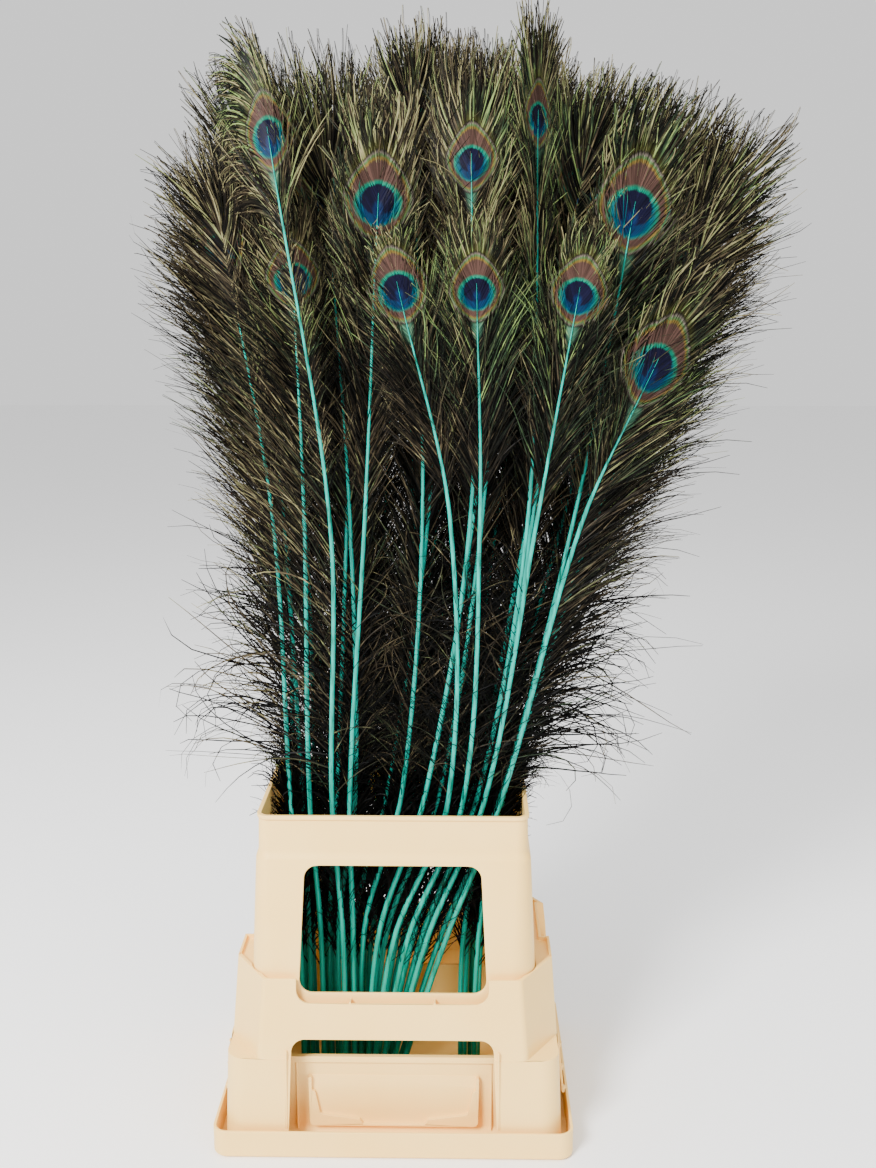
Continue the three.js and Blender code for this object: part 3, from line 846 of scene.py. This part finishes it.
def eyed_barbs():
    """Peacock barbs: bronze-brown keratin whose fine structure throws green, gold and blue, with glints and
    shade painted into the colour.

    The Place UV holds millimetres from the eye's centre over 100, plus a half; the Barb UV holds the
    way along the barb and a number of its own for each barb. Ovals about the centre carry the rings.
    """
    material, tree, shader = new_material(
        "Peacock barb, iridescent with painted glints and shade", Roughness=0.45, IOR=1.5, Specular_IOR_Level=0.05)
    uv = add_node(tree, "ShaderNodeUVMap", {"uv_map": "Place"}).outputs[0]
    barb = add_node(tree, "ShaderNodeUVMap", {"uv_map": "Barb"}).outputs[0]
    own = split(tree, barb)["Y"]
    where = add_node(tree, "ShaderNodeTexCoord").outputs["Object"]
    far = split(tree, where)

    # Each barb has its own tone, and wide clouds vary the whole bunch; the light and dark lengths along each
    # barb are painted glints. Painted shade makes the bunch darkest low down in its middle. Towards the eyes
    # this painted shade fades and turns a little lighter than the sides, and the top of the bunch is lighter
    # too, as painted light.
    height = remap(tree, far["Z"], 0.45, 0.8, -0.035, 0.02)
    aside = calculate(tree, "ABSOLUTE", calculate(tree, "SUBTRACT", far["X"], 0.06))
    middle = remap(tree, aside, 0.08, 0.2, -0.09, 0.005)
    fading = remap(tree, far["Z"], 0.8, 0.92, 1.0, -0.4)
    painted_shade_and_light = calculate(tree, "MULTIPLY_ADD", middle, fading, height)
    painted_shade_and_light = calculate(tree, "MAXIMUM", painted_shade_and_light, -0.11)
    painted_shade_and_light = calculate(tree, "ADD", painted_shade_and_light, remap(tree, far["Z"], 0.8, 0.95, 0.0, 0.035))
    painted_glint_lengths = noise(tree, vector_math(tree, "MULTIPLY", barb, (5.0, 400.0, 0.0)), 1.0, 2.0)
    tone = calculate(tree, "MULTIPLY_ADD", own, 0.46, painted_shade_and_light)
    tone = calculate(tree, "MULTIPLY_ADD", noise(tree, where, 9.0, 3.0), 0.4, tone)
    tone = calculate(tree, "MULTIPLY_ADD", painted_glint_lengths, 0.6, tone)
    # Both ramps run from near black to a light end that stands for painted glints as well as the barbs' own
    # bronze and green.
    brown = ramp(tree, tone, [
        (0.56, "#030302"), (0.74, "#15100B"), (0.84, "#2C231A"), (0.93, "#46392A"), (1.02, "#6C6248")])
    green = ramp(tree, tone, [
        (0.56, "#020302"), (0.74, "#08130C"), (0.85, "#142C1D"), (0.93, "#28462A"), (1.02, "#547036")])

    # How green a barb is: clouds, an oval below the eyes right of the middle, and a number of the
    # barb's own that doesn't follow its tone.
    flat = join(tree, X=far["X"], Y=far["Z"])
    oval = eye_distance(tree, flat, (0.19, 0.82), (0.2, 0.17))
    emerald = remap(tree, oval, 1.0, 0.3, 0.01, 0.18, "SMOOTHSTEP")
    hue = calculate(tree, "MULTIPLY_ADD", noise(tree, where, 5.5, 2.0), 0.6, emerald)
    second = calculate(tree, "FRACT", calculate(tree, "MULTIPLY", own, 37.0))
    hue = calculate(tree, "MULTIPLY_ADD", second, 0.24, hue)
    colour = blend(tree, remap(tree, hue, 0.46, 0.62, 0.12, 0.75), brown, green)

    # Below its middle an eye narrows to the shaft, and above it to a blunt point, so distances across
    # grow with the square of the way down or up. Each barb is shifted a little, for a ragged edge.
    centred = vector_math(tree, "SUBTRACT", uv, (0.5, 0.5, 0))
    ragged = join(tree, Y=calculate(tree, "MULTIPLY_ADD", own, 0.012, -0.006))
    parts = split(tree, vector_math(tree, "ADD", centred, ragged))
    grow = 1.0
    for half, rate in (("MINIMUM", 4.0), ("MAXIMUM", 4.5)):
        far_up = calculate(tree, half, parts["Y"], 0.0)
        grow = calculate(tree, "MULTIPLY_ADD", calculate(tree, "MULTIPLY", far_up, far_up), rate, grow)
    place = join(tree, X=calculate(tree, "MULTIPLY", parts["X"], grow), Y=parts["Y"])

    # Ovals from the outside in: centre, radii, where each is full in units of its radii, colour, share.
    zones = [
        ((0, 0.10), (0.40, 0.47), 0.5, "#3E3D12", 0.6),
        ((0, -0.36), (0.13, 0.22), 0.2, "#3A6650", 0.75),
        ((0, 0.030), (0.322, 0.392), 0.93, "#16120D", 0.9),
        ((0, 0.030), (0.306, 0.374), 0.91, "#5E564E", 0.85),
        ((0, 0.026), (0.290, 0.354), 0.94, "#3B522E", 1.0),
        ((0, 0.024), (0.270, 0.332), 0.94, "#5A4A20", 1.0),
        ((0, 0.018), (0.256, 0.314), 0.92, "#3E2C26", 1.0),
        ((0, -0.030), (0.222, 0.200), 0.86, "#075F49", 1.0),
        ((0, -0.045), (0.198, 0.180), 0.82, "#04424C", 1.0),
        ((0, -0.085), (0.165, 0.142), 0.65, "#04223E", 1.0),
        ((0, 0.002), (0.152, 0.132), 0.88, "#0A0A1E", 1.0),
        ((0, -0.075), (0.060, 0.092), 0.35, "#081E40", 0.9),
    ]
    for centre, radii, full, shade, most in zones:
        inside = remap(tree, eye_distance(tree, place, centre, radii), 1.0, full, 0.0, most, "SMOOTHSTEP")
        colour = blend(tree, inside, colour, linear(shade))
    shaded = add_node(tree, "ShaderNodeVectorMath", {"operation": "SCALE"}, {
        0: colour, "Scale": remap(tree, own, 0.0, 1.0, 0.5, 1.35)})
    tree.links.new(shaded.outputs[0], shader.inputs["Base Color"])
    return material


def moulded_cream():
    """Polypropylene, injection moulded: warm cream, satin, light shining a little way into it."""
    material, tree, shader = new_material(
        "Polypropylene, cream, moulded", Roughness=0.42, IOR=1.49, Subsurface_Weight=0.06,
        Subsurface_Scale=0.0015)
    shader.inputs["Subsurface Radius"].default_value = (1.0, 0.6, 0.3)
    where = add_node(tree, "ShaderNodeTexCoord").outputs["Object"]
    colour = ramp(tree, noise(tree, where, 9.0, 3.0), [(0.3, "#F6C96F"), (0.7, "#F9CF7A")])
    tree.links.new(colour, shader.inputs["Base Color"])
    raise_surface(tree, shader, noise(tree, where, 900.0, 2.0), 0.08, 0.0002)
    return material


def painted_floor():
    """Studio floor, matt white."""
    material, _, _ = new_material("Studio floor, matt white", Base_Color=linear("#F7F7F7"), Roughness=0.9)
    return material


def material_named(maker):
    """The material that a maker function gives, made once and kept as a property of the scene."""
    name = "made_by_" + maker.__name__
    known = bpy.context.scene.get(name)
    if known is None:
        known = maker()
        bpy.context.scene[name] = known
    return known


# --- settings and operators ------------------------------------------------------------------

def millimetres(name, description, default):
    return bpy.props.FloatProperty(name=name, description=description + ", mm", default=default)


def number_of(name, description, default):
    return bpy.props.IntProperty(name=name, description=description, default=default)


class FeatherSettings(bpy.types.PropertyGroup):
    quill_foot: millimetres("Quill foot", "Quill radius at its foot", 3.3)
    quill_rim: millimetres("Quill at rim", "Quill radius at the rim", 2.7)
    quill_middle: millimetres("Quill middle", "Quill radius half way up", 2.0)
    shaft_rings: number_of("Shaft rings", "Rings along a shaft", 64)
    shaft_sides: number_of("Shaft sides", "Sides of a shaft", 10)
    head_barbs: number_of("Head barbs", "Close barbs on each side of an eye", 165)
    loose_barbs: number_of("Loose barbs", "Loose barbs of a feather", 750)
    stray_barbs: number_of("Stray barbs", "Wiry barbs above the rim", 64)
    wild_barbs: number_of("Wild barbs", "Long low barbs at the edges", 12)
    thicket_barbs: number_of("Thicket barbs", "Short barbs in the collar", 420)
    head_width: millimetres("Head barb width", "Widest part of a head's barb", 1.2)
    loose_width: millimetres("Loose barb width", "Widest part of a loose barb", 1.3)
    stray_width: millimetres("Stray barb width", "Widest part of a dark barb", 0.95)


class HolderSettings(bpy.types.PropertyGroup):
    edge: millimetres("Edge radius", "Rounding of the holder's edges", 0.7)


class StageSettings(bpy.types.PropertyGroup):
    focal: bpy.props.FloatProperty(name="Focal length", description="Camera lens, mm", default=39.64)
    tilt: bpy.props.FloatProperty(
        name="Tilt", description="Camera tilt down", subtype="ANGLE", default=math.radians(11.6))
    yaw: bpy.props.FloatProperty(
        name="Yaw", description="Camera turn to the left", subtype="ANGLE", default=math.radians(0.93))
    spot: bpy.props.FloatVectorProperty(
        name="Camera place", description="Camera place", subtype="XYZ", unit="LENGTH",
        default=(0.0672, -1.339, 0.863))


class PEACOCK_OT_feathers(bpy.types.Operator):
    """Build the shafts and barbs of every feather"""
    bl_idname = "peacock.feathers"
    bl_label = "Feathers"

    def execute(self, context):
        settings = context.scene.feather_settings
        quill = material_named(dyed_quill)
        barbs = material_named(eyed_barbs)
        number = 0
        for layer, row in enumerate(LAYERS):
            for place, spec in enumerate(row):
                number += 1
                facing = -1.0 if layer < FRONT_LAYERS else 1.0
                points, faces, uv = shaft_shape(layer, spec, settings, facing)
                shaft = make_mesh(f"feather_{number:02d}_shaft", points, faces, quill, uv)
                points, faces, uv, barb = plume_shape(layer, place, number, settings)
                plume = make_mesh(f"feather_{number:02d}_plume", points, faces, barbs, uv, barb)
                for piece in (shaft, plume):
                    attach(piece, "root")
                    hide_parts(f"feather_{number:02d}")
        return {"FINISHED"}


class PEACOCK_OT_holder(bpy.types.Operator):
    """Finish the three holder mouldings"""
    bl_idname = "peacock.holder"
    bl_label = "Holder"

    def execute(self, context):
        cream = material_named(moulded_cream)
        width = context.scene.holder_settings.edge
        for name, shape in (
            ("base", base_shape), ("lower_collar", lower_collar_shape), ("upper_collar", upper_collar_shape),
        ):
            piece = shaded(shape(width))
            piece.name = f"holder_{name}"
            piece.data.name = piece.name
            piece.data.materials.clear()
            piece.data.materials.append(cream)
            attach(piece, "root")
            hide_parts(name)
        return {"FINISHED"}


class PEACOCK_OT_stage(bpy.types.Operator):
    """Lay the floor, hang the lights and set the camera"""
    bl_idname = "peacock.stage"
    bl_label = "Stage"

    def execute(self, context):
        settings = context.scene.stage_settings
        corners = [(*corner, -0.2) for corner in rectangle(24000.0, 24000.0)]
        floor = make_mesh("floor", corners, [[0, 1, 2, 3]], material_named(painted_floor), smooth=False)
        world = bpy.data.worlds.new("Studio")
        world.use_nodes = True
        background = world.node_tree.nodes["Background"]
        background.inputs["Color"].default_value = (1, 1, 1, 1)
        background.inputs["Strength"].default_value = 1.05
        context.scene.world = world
        for name, place, size, power in (
            ("key", (-1.3, -2.2, 2.2), 0.9, 250.0),
            ("fill", (1.7, -1.9, 1.5), 1.8, 26.0),
            ("top", (0.1, -0.1, 2.8), 1.6, 52.0),
        ):
            light = bpy.data.lights.new(name, "AREA")
            light.size = size
            light.energy = power
            lamp = bpy.data.objects.new(name, light)
            lamp.location = place
            aim = np.array([0.05, 0.0, 0.6]) - np.array(place)
            aim /= np.linalg.norm(aim)
            lamp.rotation_euler = (math.acos(-aim[2]), 0.0, math.atan2(-aim[0], aim[1]))
            context.scene.collection.objects.link(lamp)
        camera = bpy.data.objects.new("camera", bpy.data.cameras.new("camera"))
        camera.data.sensor_width = 36.0
        camera.data.lens = settings.focal
        camera.data.clip_end = 60.0
        camera.location = settings.spot
        camera.rotation_euler = (math.pi / 2 - settings.tilt, 0.0, settings.yaw)
        context.scene.collection.objects.link(camera)
        context.scene.camera = camera
        return {"FINISHED"}


class PEACOCK_PT_bunch(bpy.types.Panel):
    """Buttons for each group of pieces"""
    bl_idname = "PEACOCK_PT_bunch"
    bl_label = "Feather bunch"
    bl_space_type = "VIEW_3D"
    bl_region_type = "UI"
    bl_category = "Feather bunch"

    def draw(self, context):
        for operator in OPERATORS:
            self.layout.operator(operator.bl_idname)
        for name in ("feather_settings", "holder_settings", "stage_settings"):
            group = getattr(context.scene, name)
            box = self.layout.box()
            for key in group.__annotations__:
                box.prop(group, key)


OPERATORS = (PEACOCK_OT_stage, PEACOCK_OT_holder, PEACOCK_OT_feathers)
CLASSES = (FeatherSettings, HolderSettings, StageSettings, *OPERATORS, PEACOCK_PT_bunch)


def register():
    for cls in CLASSES:
        bpy.utils.register_class(cls)
    bpy.types.Scene.feather_settings = bpy.props.PointerProperty(type=FeatherSettings)
    bpy.types.Scene.holder_settings = bpy.props.PointerProperty(type=HolderSettings)
    bpy.types.Scene.stage_settings = bpy.props.PointerProperty(type=StageSettings)


def unregister():
    del bpy.types.Scene.feather_settings
    del bpy.types.Scene.holder_settings
    del bpy.types.Scene.stage_settings
    for cls in reversed(CLASSES):
        bpy.utils.unregister_class(cls)


def main():
    register()
    bpy.ops.peacock.stage()
    bpy.ops.peacock.holder()
    bpy.ops.peacock.feathers()


if __name__ == "__main__":
    main()
